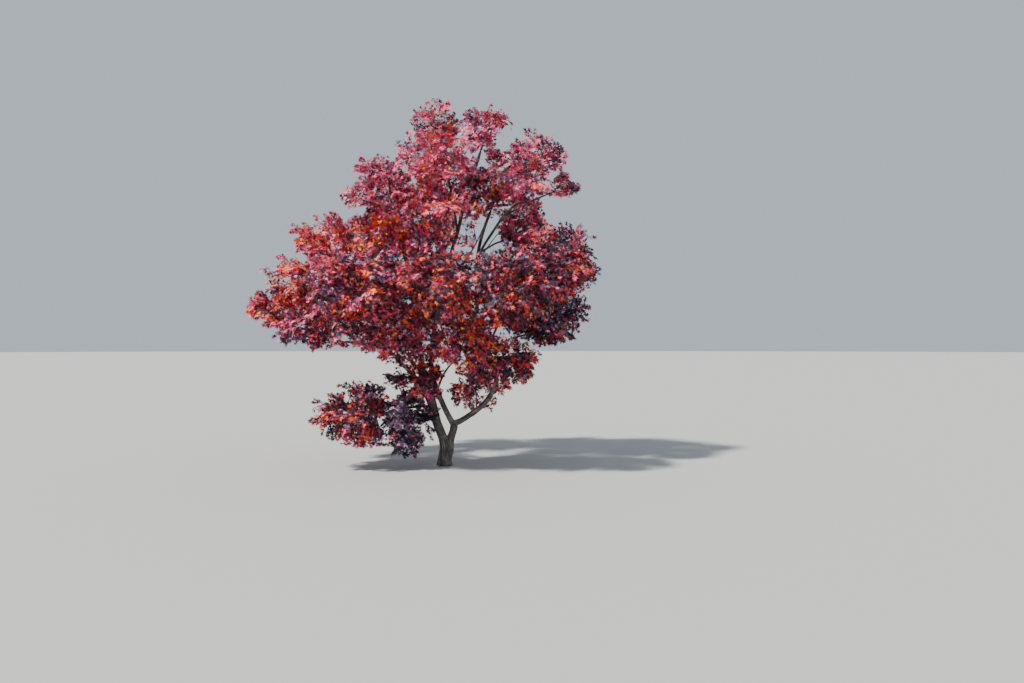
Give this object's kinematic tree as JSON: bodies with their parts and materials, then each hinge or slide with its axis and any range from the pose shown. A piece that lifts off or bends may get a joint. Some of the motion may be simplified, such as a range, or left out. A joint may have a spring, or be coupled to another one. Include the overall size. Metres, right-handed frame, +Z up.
{
  "type": "japanese maple tree",
  "caption": "Small spreading tree that forks low on a short trunk, with open layered masses of red autumn leaves on rising boughs, rooted in level ground.",
  "frame": {"origin": "middle of the flat cut under the trunk, at ground level", "axes": "+Z up from the ground, +X to the right as the tree is seen from its front, -Y towards its front"},
  "size_m": [4.5158, 3.4869, 4.934],
  "materials": {
    "bark": "smooth grey-brown bark with fine furrows and pale streaks",
    "foliage": "thin matte autumn leaves, scarlet to crimson with some orange and dark plum"
  },
  "bodies": {
    "root": {"trunk": "bark", "right_stem": "bark", "right_bough": "bark", "centre_stem": "bark", "right_riser": "bark", "leader": "bark", "left_fork": "bark", "upper_centre_bough": "bark", "mid_centre_bough": "bark", "right_upper_bough": "bark", "right_twig_bough": "bark", "right_mid_bough": "bark", "left_leader": "bark", "left_centre_bough": "bark", "left_shoulder_bough": "bark", "left_bough": "bark", "far_left_bough": "bark", "left_low_bough": "bark", "low_left_bough": "bark", "right_shoulder_bough": "bark", "right_low_bough": "bark", "centre_front_bough": "bark", "right_front_bough": "bark", "left_front_bough": "bark", "low_front_bough": "bark", "low_middle_bough": "bark", "centre_back_bough": "bark", "right_back_bough": "bark", "left_back_bough": "bark", "upper_back_bough": "bark", "foliage_upper_right": "foliage", "foliage_top_right": "foliage", "foliage_top_left": "foliage", "foliage_upper_centre": "foliage", "foliage_mid_centre": "foliage", "foliage_right_upper": "foliage", "foliage_right_twig": "foliage", "foliage_right_mid": "foliage", "foliage_left_upper": "foliage", "foliage_left_centre": "foliage", "foliage_left_shoulder": "foliage", "foliage_left_mid": "foliage", "foliage_far_left": "foliage", "foliage_left_low": "foliage", "foliage_low_left": "foliage", "foliage_low_inner": "foliage", "foliage_right_shoulder": "foliage", "foliage_right_low": "foliage", "foliage_right_bottom": "foliage", "foliage_centre_front": "foliage", "foliage_right_front": "foliage", "foliage_left_front": "foliage", "foliage_low_front": "foliage", "foliage_low_middle": "foliage", "foliage_centre_back": "foliage", "foliage_right_back": "foliage", "foliage_left_back": "foliage", "foliage_upper_back": "foliage", "foliage_fork": "foliage", "foliage_right_inner": "foliage"}
  },
  "joints": []
}
